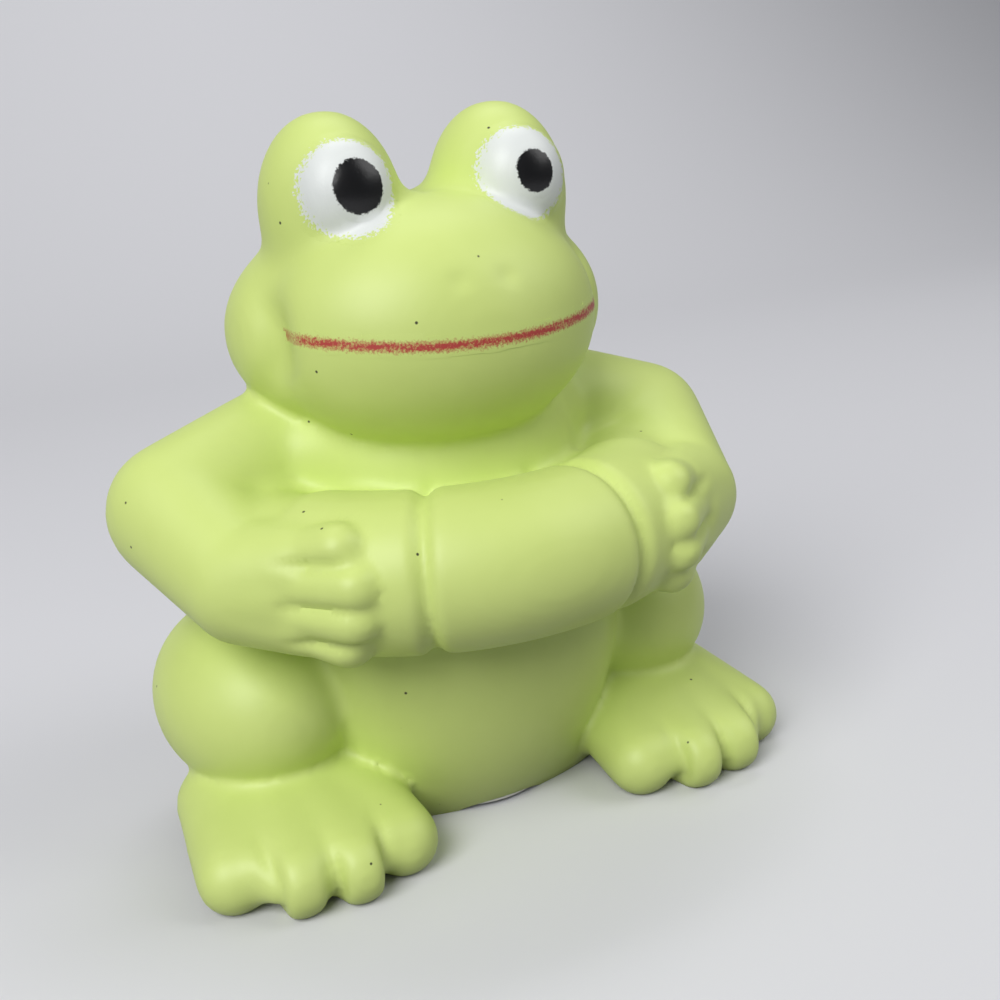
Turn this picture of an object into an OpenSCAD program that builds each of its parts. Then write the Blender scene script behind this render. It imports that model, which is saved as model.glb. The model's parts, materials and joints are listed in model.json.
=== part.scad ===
// Squeaky bath toy: a frog sitting in a swim ring.
// One hollow soft vinyl moulding, sprayed eyes and mouth, and a snap-in squeaker in the base.
// The frog faces -Y, up is +Z, and the base rests on z = 0. All lengths are in millimetres.

/* [Head] */
// Width of the head across the cheeks
head_w = 40; // [32:0.2:48]
// Depth of the head from front to back
head_d = 31; // [24:0.5:40]
// Height of the head without the eyes
head_h = 25; // [18:0.5:32]
// Height of the middle of the head above the base
head_z = 51; // [44:0.5:58]
// How far the middle of the head is behind the middle of the body
head_back = 2; // [0:0.25:4]
// How far the cheeks sit towards the frog's left, negative towards its right
head_side = 0.2; // [-1.5:0.1:1.5]
// How far the muzzle sits towards the frog's left, negative towards its right
muzzle_side = -1.1; // [-1.5:0.1:1.5]
// Width of the muzzle, which ends in a crease at each mouth corner
muzzle_w = 32.4; // [24:0.2:38]
// Depth of the muzzle
muzzle_d = 27; // [20:0.5:34]
// Height of the muzzle
muzzle_h = 24; // [16:0.5:30]
// How far the middle of the muzzle is in front of the middle of the head
muzzle_out = 7.5; // [5:0.25:12]
// Distance between the two nostril dimples
nostril_gap = 4.6; // [3:0.2:8]
// Height of the nostrils above the middle of the muzzle
nostril_up = 4.5; // [3:0.25:8]
// Radius of a nostril dimple
nostril_r = 0.7; // [0.3:0.1:1.2]

/* [Eyes] */
// Distance between the middles of the two eye bumps
eye_gap = 17.6; // [14:0.2:24]
// How far the eyes sit towards the frog's left, negative towards its right
eye_side = -0.2; // [-1.5:0.1:1.5]
// Width of the bump that carries an eye
eye_bump_w = 13.4; // [11:0.2:18]
// Depth of the bump that carries an eye
eye_bump_d = 15; // [11:0.5:19]
// Height of the bump that carries an eye
eye_bump_h = 18; // [13:0.5:22]
// Height of the middle of an eye bump above the middle of the head
eye_bump_up = 11.4; // [9:0.2:14]
// How far an eye bump is in front of the middle of the head
eye_bump_out = 4; // [1:0.25:6]
// Height of an eye's middle above the middle of its bump
eye_up = 0.8; // [0:0.2:3]
// Width of the raised white of an eye
eye_w = 7.2; // [5:0.2:10]
// Height of the raised white of an eye
eye_h = 8; // [6:0.2:11]
// How far the white stands out of its bump
eye_rise = 1.5; // [0.5:0.1:2.5]
// Upward tilt of the eyes
eye_tilt = 7; // [0:1:20]
// Width of the right pupil, which is the larger one
pupil_w = 4.6; // [3:0.2:6]
// Height of the right pupil
pupil_h = 4.9; // [3:0.1:6]

/* [Mouth] */
// Width of the painted mouth line, corner to corner
mouth_w = 30.4; // [20:0.2:32]
// Thickness of the mouth line
mouth_line = 0.9; // [0.5:0.1:2]
// Height of the mouth line's middle below the middle of the muzzle
mouth_down = 0.4; // [0:0.2:4]
// How far the corners of the mouth line are above its middle
mouth_smile = 1.2; // [0.4:0.1:3]
// Tilt of the mouth line, lower at the front
mouth_tilt = 2; // [0:0.5:8]

/* [Body] */
// Width of the body
torso_w = 37; // [30:0.5:44]
// Depth of the body
torso_d = 31; // [24:0.5:40]
// Height of the body, part of which the base cuts off
torso_h = 48; // [40:0.5:56]
// Height of the middle of the body above the base
torso_z = 20; // [16:0.5:24]
// Width of the shoulders between the arms
yoke_w = 40; // [32:0.5:46]
// Depth of the shoulders
yoke_d = 25; // [18:0.5:30]
// Height of the shoulders
yoke_h = 17; // [12:0.5:22]
// Width of the neck, which shows as a collar under the chin
neck_w = 30; // [24:0.5:36]
// Depth of the neck
neck_d = 26; // [20:0.5:32]
// Height of the neck with the parts that lie in the body and the head
neck_h = 30; // [24:0.5:36]
// Height of the middle of the neck above the base
neck_z = 36; // [32:0.5:40]
// Width of the seat that joins the body to the thighs
seat_w = 42; // [34:0.5:50]
// Depth of the seat
seat_d = 25; // [18:0.5:30]
// Height of the seat, a quarter of which the base cuts off
seat_h = 20; // [14:0.5:26]
// How far the seat is behind the middle of the body
seat_back = 2.6; // [0:0.2:6]
// Thickness of the moulding's wall
wall = 1.8; // [1.2:0.1:3]

/* [Swim ring] */
// Outside diameter of the swim ring
ring_d = 53.4; // [46:0.2:62]
// Thickness of the ring's tube
ring_tube = 13.8; // [10:0.2:18]
// Height of the middle of the ring above the base
ring_z = 30.2; // [25:0.2:35]
// How much thicker the ring's three padded segments are
pad_extra = 0.7; // [0.2:0.1:2]
// Angle from the middle of the front segment to each of its ends
pad_turn = 20; // [14:1:26]
// Angle of the groove between two segments
pad_groove = 6; // [3:0.5:9]
// Turn of the segments and the hands round the ring, negative towards the frog's right
ring_turn = -3.5; // [-8:0.5:8]

/* [Arms] */
// Diameter of an arm at the shoulder
shoulder_d = 13.6; // [9:0.2:16]
// Diameter of an arm at the elbow
elbow_d = 14; // [9:0.2:16]
// Diameter of an arm at the wrist
wrist_d = 11.8; // [8:0.2:14]
// Diameter of a hand behind its fingers
palm_d = 10.4; // [8:0.2:13]
// Distance between the middles of the two shoulders
shoulder_gap = 33; // [26:0.5:40]
// How far the shoulders are behind the middle of the ring
shoulder_back = 4; // [0:0.5:8]
// Height of the shoulders above the middle of the ring
shoulder_up = 8.6; // [6:0.2:12]
// Distance between the middles of the two elbows
elbow_gap = 53.4; // [46:0.2:60]
// How far the elbows are behind the middle of the ring
elbow_back = 2.4; // [0:0.2:6]
// Height of the elbows above the middle of the ring
elbow_up = 5; // [2:0.2:8]
// Angle of the wrists round the ring, counted from the front segment
wrist_turn = 66; // [60:1:76]
// How far the middle of a wrist lies below the ring's skin
wrist_sink = 1.6; // [0:0.2:4]
// Angle of the hands round the ring, counted from the front segment
palm_turn = 55; // [50:1:60]
// How far the middle of a hand lies below the ring's skin
palm_sink = 2.6; // [0:0.2:4]
// Angle of the fingertips round the ring, counted from the front segment
finger_turn = 35; // [30:1:42]
// Thickness of a finger
finger_d = 4.2; // [3:0.2:5]

/* [Legs] */
// Width of a thigh
thigh_w = 21; // [16:0.5:26]
// Length of a thigh from front to back
thigh_l = 27; // [20:0.5:32]
// Height of a thigh
thigh_h = 20; // [16:0.5:24]
// Distance between the middles of the two thighs
thigh_gap = 43; // [36:0.5:50]
// Height of the middle of a thigh above the base
thigh_z = 14.5; // [11:0.5:18]
// How far the middle of a thigh is behind the middle of the body
thigh_back = 4; // [0:0.5:8]
// Distance between the middles of the two feet
foot_gap = 43; // [36:0.5:50]
// How far the toes reach in front of the middle of the body
foot_reach = 20.2; // [16:0.2:24]
// Width over the four toes of a foot
foot_w = 23; // [18:0.5:28]
// Height of a foot at the ankle
foot_h = 11; // [9:0.5:14]
// Thickness of a toe at its tip
toe_d = 7.2; // [5.6:0.2:9]
// How far the web between the toes stays behind their tips
toe_groove = 1.6; // [0.6:0.2:3]
// Thickness of the web between the toes
web_d = 3.2; // [2:0.2:5]

/* [Squeaker] */
// Diameter of the squeaker's barrel
barrel_d = 13.6; // [12:0.2:16]
// Wall of the squeaker's barrel
barrel_wall = 1; // [0.7:0.1:1.5]
// Diameter of the squeaker's flange
flange_d = 18; // [17:0.5:22]
// Thickness of the squeaker's flange
flange_h = 1.2; // [0.8:0.1:2]
// How far the flange's face is set above the table
flange_recess = 0.5; // [0.3:0.1:1]
// Diameter of the air hole in the flange
vent_d = 3; // [2:0.2:4]
// Length of the free tongue of the reed
reed_l = 6.5; // [5:0.25:8]
// Width of the reed
reed_w = 4; // [3:0.2:6]
// Thickness of the reed
reed_t = 0.3; // [0.2:0.05:0.5]
// Angle that the reed stands open at rest
reed_open = 3; // [2:0.25:5]

/* [Hidden] */
// Overrun of every cut
over = 1;
// Clearance between two pieces that fit into each other
fit = 0.1;
// Gap between a paint film and what it lies on, and the film's thickness
paint_gap = 0.03;
paint_t = 0.15;
// How far feet and toes are sunk below the base before it is cut flat
sink = 0.5;
// Half of the largest size, for the cuts that clear a whole side
reach = head_z + head_h;

// Facets of head and ring, body and thighs, limbs, fingers and toes, hollow, turned pieces and arcs
form_facets = 32;
mass_facets = 24;
limb_facets = 20;
digit_facets = 12;
hollow_facets = 10;
turned_facets = 48;
arc_facets = 192;

// Middles of the head and the muzzle
head_at = [head_side, head_back, head_z];
muzzle_at = [muzzle_side, head_back - muzzle_out, head_z];
// Size of the left pupil as a share of the right one
left_pupil_share = 0.82;
// Depth of an eye's dome as a share of its bump, and the part of its width that shows
dome_depth_share = 0.5;
dome_show_share = 0.86;
dome_d = eye_bump_d * dome_depth_share;
dome_size = [eye_w / dome_show_share, dome_d, eye_h / dome_show_share];
dome_out = eye_bump_d / 2 + eye_rise - dome_d / 2;

// Radius of the circle along the middle of the ring's tube
ring_r = (ring_d - ring_tube) / 2;
shoulder_at = [shoulder_gap / 2, shoulder_back, ring_z + shoulder_up];
elbow_at = [elbow_gap / 2, elbow_back, ring_z + elbow_up];
// Angles of the four fingers round the ring's tube, as shares of a quarter turn
quarter_turn = 90;
finger_shares = [0.4, 0.1, -0.17, -0.44];
// How far the outer fingertips stay back, as a share of their angle round the tube
finger_back_share = 0.1;
// Thickness of the rounded ends of the ring's padded segments
pad_end_share = 0.3;
// Necks of the hollow as a share of what they lead into, and the waist as one of the ring's tube
neck_share = 0.4;
waist_share = 0.55;
// How far the fingers fan in towards the wrist
finger_root_share = 0.6;

// Places of the four toes across a foot, and how far each one reaches
toe_side_shares = [-0.5, -0.16, 0.18, 0.5];
toe_reach_shares = [0.9, 1, 0.96, 0.76];
// Size of the ankle as shares of the foot's width, reach and height
ankle_shares = [0.92, 0.8, 1];

// Heights in the squeaker, from the seat of its flange upwards
disc_h = 1.2;
tip_gap = 0.5;
clamp_h = 2.5;
rim_h = 1.3;
seat_z = flange_recess + flange_h;
hinge_z = seat_z + disc_h + tip_gap + reed_l;
block_top = hinge_z + clamp_h;
barrel_top = block_top + rim_h;
// Bead that snaps the barrel into the moulding
bead = 0.5;
// Core of the squeaker: room for the reed on either side, its root and its air channel
core_r = barrel_d / 2 - barrel_wall - fit;
reed_room = 0.15;
reed_root = 1.2;
channel_edge = 0.6;
channel_depth = 2.2;
hinge_x = reed_room + reed_t / 2;

// A point over the ring's tube: angle from the front, angle round the tube, height over its skin
function on_ring(turn, lift, over_skin) =
  let (out = ring_r + (ring_tube / 2 + over_skin) * cos(lift))
    [sin(turn) * out, -cos(turn) * out, ring_z + (ring_tube / 2 + over_skin) * sin(lift)];

// An ellipsoid of the given full sizes, grown on every side
module ellipsoid(size, grow = 0) {
  scale([for (s = size) s / 2 + grow])
    sphere(r = 1);
}

// A chain of balls, each [place, diameter], joined pair by pair and grown on every side
module limb(balls, grow = 0) {
  for (i = [1 : len(balls) - 1])
    hull()
      for (ball = [balls[i - 1], balls[i]])
        translate(ball[0])
          sphere(d = ball[1] + 2 * grow);
}

// A piece and its mirror image
module both_sides() {
  children();
  mirror([1, 0, 0])
    children();
}

module cheeks(grow = 0) {
  translate(head_at)
    ellipsoid([head_w, head_d, head_h], grow);
}

module muzzle(grow = 0) {
  translate(muzzle_at)
    ellipsoid([muzzle_w, muzzle_d, muzzle_h], grow);
}

// Skin of the head without the eyes
module face(grow = 0) {
  cheeks(grow);
  muzzle(grow);
}

// Nostril: a ball sunk halfway into the front of the muzzle
module nostril(side) {
  across = nostril_gap / muzzle_w;
  up = nostril_up * 2 / muzzle_h;
  depth = sqrt(1 - across * across - up * up);
  translate(muzzle_at + [side * nostril_gap / 2, -depth * muzzle_d / 2, nostril_up])
    sphere(r = nostril_r);
}

// Middle of an eye bump, on the frog's left with side 1 and on its right with side -1
function bump_at(side) =
  [eye_side + side * eye_gap / 2, head_back - eye_bump_out, head_z + eye_bump_up];

module eye_bump(side, grow = 0) {
  translate(bump_at(side))
    ellipsoid([eye_bump_w, eye_bump_d, eye_bump_h], grow);
}

// Children face forwards from inside an eye bump, at the height of its eye
module at_eye(side) {
  translate(bump_at(side) + [0, 0, eye_up])
    rotate([-eye_tilt, 0, 0])
      children();
}

module eye_dome(side, grow = 0) {
  at_eye(side)
    translate([0, -dome_out, 0])
      ellipsoid(dome_size, grow);
}

module torso(grow = 0) {
  translate([0, 0, torso_z])
    ellipsoid([torso_w, torso_d, torso_h], grow);
}

// Filling of the deep crease between the body and the ring
module waist(height) {
  translate([0, 0, ring_z - height / 2])
    cylinder(r = ring_r, h = height);
}

// Shoulders that join the arms to the neck
module yoke(grow = 0) {
  translate([0, shoulder_back, shoulder_at[2]])
    ellipsoid([yoke_w, yoke_d, yoke_h], grow);
}

// Low seat under the body, level with the thighs
module seat(grow = 0) {
  translate([0, seat_back, seat_h / 4])
    ellipsoid([seat_w, seat_d, seat_h], grow);
}

module ring(grow = 0) {
  translate([0, 0, ring_z])
    rotate_extrude()
      translate([ring_r, 0])
        circle(d = ring_tube + 2 * grow, $fn = limb_facets);
}

// A padded segment of the ring between two angles, closed by a flattened ball at each end
module ring_pad(from, to) {
  pad_d = ring_tube + 2 * pad_extra;
  translate([0, 0, ring_z])
    rotate([0, 0, ring_turn]) {
      rotate([0, 0, from - 90])
        rotate_extrude(angle = to - from)
          translate([ring_r, 0])
            circle(d = pad_d, $fn = limb_facets);
      for (turn = [from, to])
        rotate([0, 0, turn])
          translate([0, -ring_r, 0])
            ellipsoid([pad_d * pad_end_share, pad_d, pad_d], $fn = limb_facets);
    }
}

module arm(side, grow = 0) {
  limb([[[side * shoulder_at[0], shoulder_at[1], shoulder_at[2]], shoulder_d],
        [[side * elbow_at[0], elbow_at[1], elbow_at[2]], elbow_d],
        [on_ring(ring_turn + side * wrist_turn, 0, -wrist_sink), wrist_d],
        [on_ring(ring_turn + side * palm_turn, 0, -palm_sink), palm_d]], grow);
}

// Four fingers lying over the outside of the ring
module hand(side) {
  for (share = finger_shares) {
    lift = quarter_turn * share;
    tip_turn = finger_turn + abs(lift) * finger_back_share;
    limb([[on_ring(ring_turn + side * tip_turn, lift, 0), finger_d],
          [on_ring(ring_turn + side * wrist_turn, lift * finger_root_share, 0), finger_d]]);
  }
}

module thigh(grow = 0) {
  translate([thigh_gap / 2, thigh_back, thigh_z])
    ellipsoid([thigh_w, thigh_l, thigh_h], grow);
}

// Middle of a ball at a toe's tip, drawn back by the given depth and level with the toe's top
function toe_at(i, back, size) =
  [foot_gap / 2 + (foot_w - toe_d) * toe_side_shares[i],
   size / 2 - foot_reach * toe_reach_shares[i] + back,
   toe_d - size / 2 - sink];

module ankle() {
  translate([foot_gap / 2, 0, foot_h / 2 - sink])
    ellipsoid([foot_w * ankle_shares[0], foot_reach * ankle_shares[1], foot_h * ankle_shares[2]]);
}

// A foot: four toes running into the ankle, and a web that closes their grooves at the top
module foot() {
  for (i = [0 : 3])
    hull() {
      translate(toe_at(i, 0, toe_d))
        sphere(d = toe_d);
      ankle();
    }
  for (i = [1 : 3])
    hull() {
      for (k = [i - 1, i])
        translate(toe_at(k, toe_groove, web_d))
          sphere(d = web_d);
      ankle();
    }
}

// Neck between the shoulders and the head
module neck(grow = 0) {
  translate([0, 0, neck_z])
    ellipsoid([neck_w, neck_d, neck_h], grow);
}

// Passage from the body into the head, grown where it is the skin that has to reach the head
module throat(grow = 0) {
  translate([0, 0, ring_z])
    cylinder(d = torso_d * neck_share + 2 * grow, h = head_z - ring_z);
}

// Outside of the whole moulding
module frog() {
  face($fn = form_facets);
  torso($fn = mass_facets);
  seat($fn = mass_facets);
  yoke($fn = mass_facets);
  neck($fn = mass_facets);
  throat(wall, $fn = limb_facets);
  ring($fn = form_facets);
  ring_pad(-pad_turn, pad_turn, $fn = form_facets);
  ring_pad(pad_turn + pad_groove, palm_turn, $fn = form_facets);
  ring_pad(-palm_turn, -pad_turn - pad_groove, $fn = form_facets);
  waist(ring_tube * waist_share, $fn = mass_facets);
  for (side = [-1, 1]) {
    eye_bump(side, $fn = limb_facets);
    eye_dome(side, $fn = limb_facets);
    arm(side, $fn = limb_facets);
    hand(side, $fn = digit_facets);
  }
  both_sides() {
    thigh($fn = mass_facets);
    foot($fn = digit_facets);
  }
}

// Hollow inside of the moulding, one wall thinner than the large forms,
// with the necks that lead into its head, eyes, thighs and ring and round the squeaker
module hollow() {
  $fn = hollow_facets;
  throat();
  neck(-wall);
  waist(ring_tube * waist_share - 2 * wall);
  face(-wall);
  torso(-wall);
  seat(-wall);
  yoke(-wall);
  ring(-wall);
  for (side = [-1, 1]) {
    eye_bump(side, -wall);
    limb([[bump_at(side), eye_bump_d * neck_share], [head_at, eye_bump_d * neck_share]]);
    arm(side, -wall);
  }
  both_sides() {
    thigh(-wall);
    limb([[[thigh_gap / 2, thigh_back, thigh_z], thigh_h * neck_share],
          [[0, thigh_back, thigh_z], thigh_h * neck_share]]);
  }
  cylinder(r = barrel_d / 2 + 2 * bead, h = barrel_top + over);
}

module body_shell() {
  color("YellowGreen")
    difference() {
      frog();
      for (side = [-1, 1])
        nostril(side, $fn = digit_facets);
      translate([-reach, -reach, -2 * reach])
        cube(2 * reach);
      difference() {
        hollow();
        translate([-reach, -reach, wall - 2 * reach])
          cube(2 * reach);
        cylinder(r = flange_d / 2 + fit + wall, h = seat_z + wall, $fn = turned_facets);
      }
      translate([0, 0, -over])
        cylinder(r = flange_d / 2 + fit, h = seat_z + over, $fn = turned_facets);
      cylinder(r = barrel_d / 2 + fit, h = seat_z + wall + over, $fn = turned_facets);
    }
}

// White sprayed on the dome of an eye
module eye_white(side) {
  color("White")
    difference() {
      eye_dome(side, paint_gap + paint_t);
      eye_dome(side, paint_gap);
      eye_bump(side, paint_gap);
      face(paint_gap);
    }
}

module eye_white_left() {
  eye_white(1, $fn = turned_facets);
}

module eye_white_right() {
  eye_white(-1, $fn = turned_facets);
}

// Pupil sprayed over the white of an eye
module pupil(side, size_share = 1) {
  color("Black")
    intersection() {
      difference() {
        eye_dome(side, 2 * (paint_gap + paint_t));
        eye_dome(side, 2 * paint_gap + paint_t);
        face(paint_gap);
      }
      at_eye(side)
        translate([0, -dome_out, 0])
          rotate([90, 0, 0])
            scale([size_share * pupil_w / 2, size_share * pupil_h / 2, dome_d])
              cylinder(r = 1, h = 1);
    }
}

module pupil_left() {
  pupil(1, left_pupil_share, $fn = turned_facets);
}

module pupil_right() {
  pupil(-1, $fn = turned_facets);
}

// Red line sprayed across the muzzle, along an arc that rises to its corners
module mouth_paint() {
  arc_r = (pow(mouth_w / 2, 2) + pow(mouth_smile, 2)) / (2 * mouth_smile);
  color("Crimson")
    intersection() {
      difference() {
        face(paint_gap + paint_t, $fn = turned_facets);
        face(paint_gap, $fn = turned_facets);
      }
      translate(muzzle_at - [0, 0, mouth_down])
        rotate([mouth_tilt, 0, 0])
          intersection() {
            translate([0, 0, arc_r])
              rotate([90, 0, 0])
                difference() {
                  cylinder(r = arc_r + mouth_line / 2, h = muzzle_d, $fn = arc_facets);
                  translate([0, 0, -over])
                    cylinder(r = arc_r - mouth_line / 2, h = muzzle_d + 2 * over, $fn = arc_facets);
                }
            translate([-mouth_w / 2, -muzzle_d, -mouth_line])
              cube([mouth_w, muzzle_d, mouth_smile + 2 * mouth_line]);
          }
    }
}

// Housing of the squeaker, snapped into the base from below
module squeaker_cup() {
  color("WhiteSmoke")
    difference() {
      union() {
        translate([0, 0, flange_recess])
          cylinder(d = flange_d, h = flange_h, $fn = turned_facets);
        translate([0, 0, flange_recess])
          cylinder(d = barrel_d, h = barrel_top - flange_recess, $fn = turned_facets);
        translate([0, 0, seat_z + wall + fit])
          cylinder(d1 = barrel_d + 2 * bead, d2 = barrel_d, h = 2 * bead, $fn = turned_facets);
      }
      translate([0, 0, seat_z])
        cylinder(r = barrel_d / 2 - barrel_wall, h = barrel_top, $fn = turned_facets);
      cylinder(d = vent_d, h = barrel_top, $fn = turned_facets);
    }
}

// Half-round core with the air channel that the reed closes
module reed_block() {
  color("Gainsboro")
    difference() {
      translate([0, 0, seat_z])
        cylinder(r = core_r, h = block_top - seat_z, $fn = turned_facets);
      translate([0, -reach, seat_z + disc_h])
        cube([reach, 2 * reach, reach]);
      translate([-channel_depth, channel_edge - reed_w / 2, 0])
        cube([channel_depth, reed_w - 2 * channel_edge, hinge_z - channel_edge]);
    }
}

// Wedge that holds the root of the reed against the core
module reed_clamp() {
  color("Silver")
    intersection() {
      translate([0, 0, hinge_z])
        cylinder(r = core_r, h = clamp_h, $fn = turned_facets);
      translate([2 * reed_room + reed_t, -reed_w / 2, hinge_z])
        cube([reach, reed_w, clamp_h]);
    }
}

// Springy tongue that beats against the core
module reed() {
  color("LightSteelBlue")
    translate([hinge_x, 0, hinge_z])
      rotate([0, -reed_open, 0])
        translate([-reed_t / 2, -reed_w / 2, -reed_l])
          cube([reed_t, reed_w, reed_l + reed_root]);
}

body_shell();
eye_white_left();
eye_white_right();
pupil_left();
pupil_right();
mouth_paint();
squeaker_cup();
reed_block();
reed_clamp();
reed();
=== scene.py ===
"""Looks of a squeaky bath toy: a soft vinyl frog sitting in a swim ring.

The frog's forms are modelled as balls, limbs and rings, melted together in steps from the
softest blends to the tightest creases, and then the eyes and the mouth are sprayed on.
"""

import json
import math

import bpy
import numpy as np
from mathutils import Matrix, Vector

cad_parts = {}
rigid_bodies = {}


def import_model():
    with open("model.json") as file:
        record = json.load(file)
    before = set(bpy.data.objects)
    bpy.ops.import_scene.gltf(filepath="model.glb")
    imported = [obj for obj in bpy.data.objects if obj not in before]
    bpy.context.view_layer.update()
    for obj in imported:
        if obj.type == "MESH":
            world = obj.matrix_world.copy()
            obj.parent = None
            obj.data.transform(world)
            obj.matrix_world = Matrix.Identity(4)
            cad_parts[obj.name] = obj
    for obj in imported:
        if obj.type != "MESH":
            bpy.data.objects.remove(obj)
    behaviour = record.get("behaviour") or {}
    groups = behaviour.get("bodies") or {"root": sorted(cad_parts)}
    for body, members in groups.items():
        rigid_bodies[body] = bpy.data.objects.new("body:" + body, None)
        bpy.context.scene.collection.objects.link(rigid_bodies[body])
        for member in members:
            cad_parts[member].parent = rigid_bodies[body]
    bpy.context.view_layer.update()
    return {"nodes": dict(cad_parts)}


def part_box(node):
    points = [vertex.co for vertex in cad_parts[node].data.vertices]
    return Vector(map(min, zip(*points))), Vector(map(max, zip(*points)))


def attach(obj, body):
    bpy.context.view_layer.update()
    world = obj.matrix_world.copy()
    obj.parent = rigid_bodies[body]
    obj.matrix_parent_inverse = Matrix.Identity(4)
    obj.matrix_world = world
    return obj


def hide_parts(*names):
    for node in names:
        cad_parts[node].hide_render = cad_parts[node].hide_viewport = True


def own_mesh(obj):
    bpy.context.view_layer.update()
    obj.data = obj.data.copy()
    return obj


bl_info = {
    "name": "Squeaky bath toy",
    "version": (1, 0, 0),
    "blender": (4, 5, 0),
    "location": "3D View > Sidebar > Bath Toy",
    "description": "Builds a soft vinyl frog in a swim ring round its CAD frame",
    "category": "Object",
}

MM = 0.001

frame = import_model()


# Settings

def length(name, description, mm):
    """A size that is written in millimetres and kept in metres"""
    return bpy.props.FloatProperty(
        name=name, description=description, default=mm * MM, unit="LENGTH", precision=5)


def angle(name, description, degrees):
    """An angle that is written in degrees and kept in radians"""
    return bpy.props.FloatProperty(
        name=name, description=description, default=math.radians(degrees), subtype="ANGLE")


def share(name, description, value):
    """A plain number without a unit"""
    return bpy.props.FloatProperty(name=name, description=description, default=value)


def srgb(code):
    """Linear RGBA of an sRGB hex colour such as #D4E286"""
    parts = [int(code[i:i + 2], 16) / 255 for i in (1, 3, 5)]
    curve = [p / 12.92 if p <= 0.04045 else ((p + 0.055) / 1.055) ** 2.4 for p in parts]
    return (*curve, 1.0)


def colour(name, description, code):
    """A colour that is written as an sRGB hex value"""
    return bpy.props.FloatVectorProperty(
        name=name, description=description, default=srgb(code)[:3], subtype="COLOR",
        size=3, min=0, max=1)


class HeadSizes(bpy.types.PropertyGroup):
    """Sizes of the head and the eyes"""
    width: length("Head width", "Across the cheeks", 40)
    depth: length("Head depth", "From front to back", 31)
    height: length("Head height", "Without the eyes", 25)
    middle: length("Head middle", "Height of the middle of the head above the table", 51)
    back: length("Head back", "How far the head is behind the middle of the ring", 2)
    eye_side: length("Eye side", "How far the eyes sit towards the frog's left", -0.2)
    cheek_side: length("Cheek side", "How far the cheeks sit towards the frog's left", 0.2)
    muzzle_side: length("Muzzle side", "How far the muzzle sits towards the frog's left", -1.1)
    muzzle_width: length("Muzzle width", "Between the creases at the mouth corners", 32.4)
    muzzle_depth: length("Muzzle depth", "From front to back", 27)
    muzzle_height: length("Muzzle height", "From its top to the chin", 24)
    muzzle_out: length("Muzzle out", "How far the muzzle is in front of the head", 7.5)
    eye_gap: length("Eye gap", "Between the middles of the eye bumps", 17.6)
    bump_width: length("Eye bump width", "Width of the bump under an eye", 13.4)
    bump_depth: length("Eye bump depth", "From front to back", 15)
    bump_height: length("Eye bump height", "With the part inside the head", 18)
    bump_up: length("Eye bump up", "Height of the bumps above the middle of the head", 11.4)
    bump_out: length("Eye bump out", "How far the bumps are in front of the head", 4)
    eye_width: length("Eye width", "Width of the raised white", 7.9)
    eye_height: length("Eye height", "Height of the raised white", 8.6)
    eye_up: length("Eye up", "Height of an eye's middle above the middle of its bump", 0.8)
    eye_rise: length("Eye rise", "How far the white stands out of its bump", 1.5)
    eye_tilt: angle("Eye tilt", "How far the eyes look up", 7)
    nostril_gap: length("Nostril gap", "Between the two nostrils", 4.6)
    nostril_up: length("Nostril height", "Above the middle of the muzzle", 4.5)
    nostril_size: length("Nostril size", "Half width of a nostril", 0.9)
    nostril_depth: length("Nostril depth", "Of a nostril", 0.2)
    crease_out: length("Crease out", "How far a mouth crease lies beyond the corner of the mouth", 1)
    crease_width: length("Crease width", "Half width of a mouth crease", 1.1)
    crease_length: length("Crease length", "Half length of a mouth crease, from front to back", 4)
    crease_height: length("Crease height", "Half height of a mouth crease", 4.5)
    crease_depth: length("Crease depth", "Of a mouth crease", 1.5)


class BodySizes(bpy.types.PropertyGroup):
    """Sizes of the body and the swim ring"""
    width: length("Body width", "Across the belly", 37)
    depth: length("Body depth", "From front to back", 31)
    height: length("Body height", "With the part below the base", 48)
    middle: length("Body middle", "Height of the middle of the body", 20)
    shoulder_width: length("Shoulder width", "Of the mass between the arms", 40)
    shoulder_depth: length("Shoulder depth", "From chest to back", 25)
    shoulder_height: length("Shoulder height", "From bottom to top", 17)
    neck_width: length("Neck width", "Across the collar under the chin", 30)
    neck_depth: length("Neck depth", "From front to back", 26)
    neck_height: length("Neck height", "With the part inside the body", 30)
    neck_middle: length("Neck middle", "Height of the middle of the neck", 36)
    seat_width: length("Seat width", "Of the low mass between the thighs", 42)
    seat_depth: length("Seat depth", "From front to back", 25)
    seat_height: length("Seat height", "With the part below the base", 20)
    seat_back: length("Seat back", "Behind the middle of the ring", 2.6)
    ring: length("Ring", "Outside diameter of the swim ring", 53.4)
    tube: length("Ring tube", "Thickness of the ring's tube", 13.8)
    ring_middle: length("Ring middle", "Height of the ring above the table", 30.2)
    pad_extra: length("Pad extra", "How much the padded segments stand out", 0.7)
    groove_turn: angle("Groove turn", "From the middle of the front segment to its end grooves", 23)
    groove_width: length("Groove width", "Half width of an end groove", 0.75)
    groove_depth: length("Groove depth", "Of an end groove", 0.85)
    groove_reach: length("Groove reach", "How far off the ring's skin a groove still presses", 1.2)
    ring_turn: angle("Ring turn", "Turn of the segments and hands, from the front", -3.5)


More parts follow.
